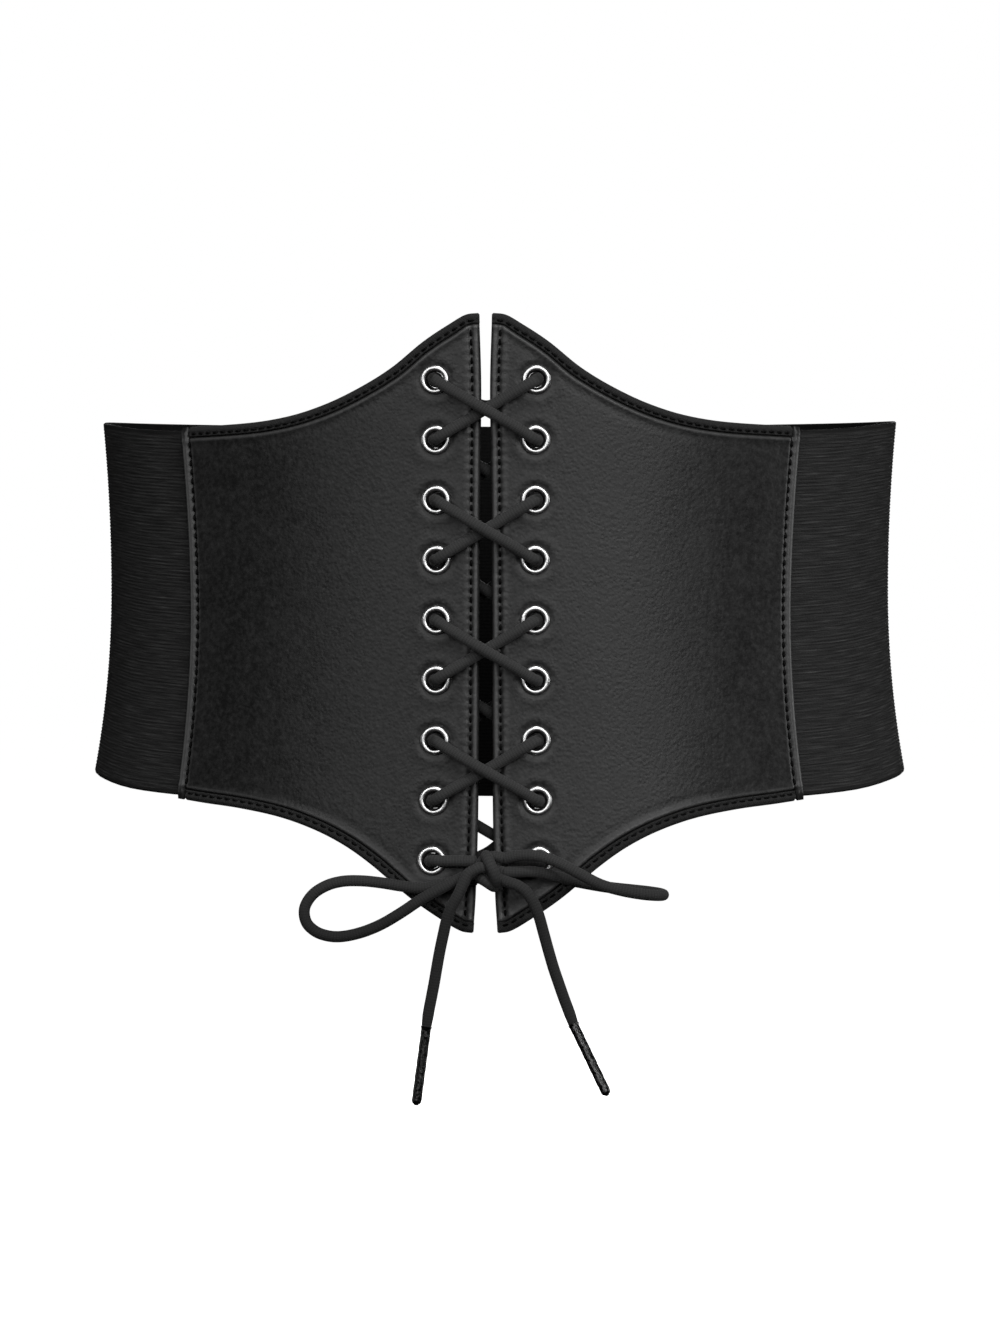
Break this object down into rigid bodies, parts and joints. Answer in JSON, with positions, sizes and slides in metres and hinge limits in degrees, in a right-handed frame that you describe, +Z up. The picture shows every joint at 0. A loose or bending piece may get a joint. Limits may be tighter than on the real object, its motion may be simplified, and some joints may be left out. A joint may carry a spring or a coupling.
{
  "type": "corset belt",
  "caption": "Wide black waist belt with pointed leather-look front panels, a laced front with a tied bow, and an elastic band round the back.",
  "frame": {"origin": "middle of the waist hollow, level with the middle of the side seams, where the belt sits on a waist", "axes": "+Z up the body, front of the belt towards -Y, wearer's left towards +X"},
  "size_m": [0.299, 0.2255, 0.2774],
  "materials": {
    "faux_leather": "soft matte synthetic leather with a fine grain",
    "elastic_webbing": "finely ribbed woven elastic",
    "edge_binding": "matt folded cloth strip, topstitched",
    "eyelet_metal": "bright rolled metal",
    "lace_cord": "round braided cord",
    "aglet_film": "glossy wrapped film"
  },
  "bodies": {
    "root": {"left_front_panel": "faux_leather", "left_top_binding": "edge_binding", "left_bottom_binding": "edge_binding", "left_eyelet_1": "eyelet_metal", "left_eyelet_2": "eyelet_metal", "left_eyelet_3": "eyelet_metal", "left_eyelet_4": "eyelet_metal", "left_eyelet_5": "eyelet_metal", "left_eyelet_6": "eyelet_metal", "left_eyelet_7": "eyelet_metal", "left_eyelet_8": "eyelet_metal", "left_eyelet_9": "eyelet_metal", "right_front_panel": "faux_leather", "right_top_binding": "edge_binding", "right_bottom_binding": "edge_binding", "right_eyelet_1": "eyelet_metal", "right_eyelet_2": "eyelet_metal", "right_eyelet_3": "eyelet_metal", "right_eyelet_4": "eyelet_metal", "right_eyelet_5": "eyelet_metal", "right_eyelet_6": "eyelet_metal", "right_eyelet_7": "eyelet_metal", "right_eyelet_8": "eyelet_metal", "right_eyelet_9": "eyelet_metal", "elastic_band": "elastic_webbing", "lacing": "lace_cord", "bow_knot": "lace_cord", "bow_loop_left": "lace_cord", "bow_loop_right": "lace_cord", "lace_end_left": "lace_cord", "lace_end_right": "lace_cord", "aglet_left": "aglet_film", "aglet_right": "aglet_film"}
  },
  "joints": []
}
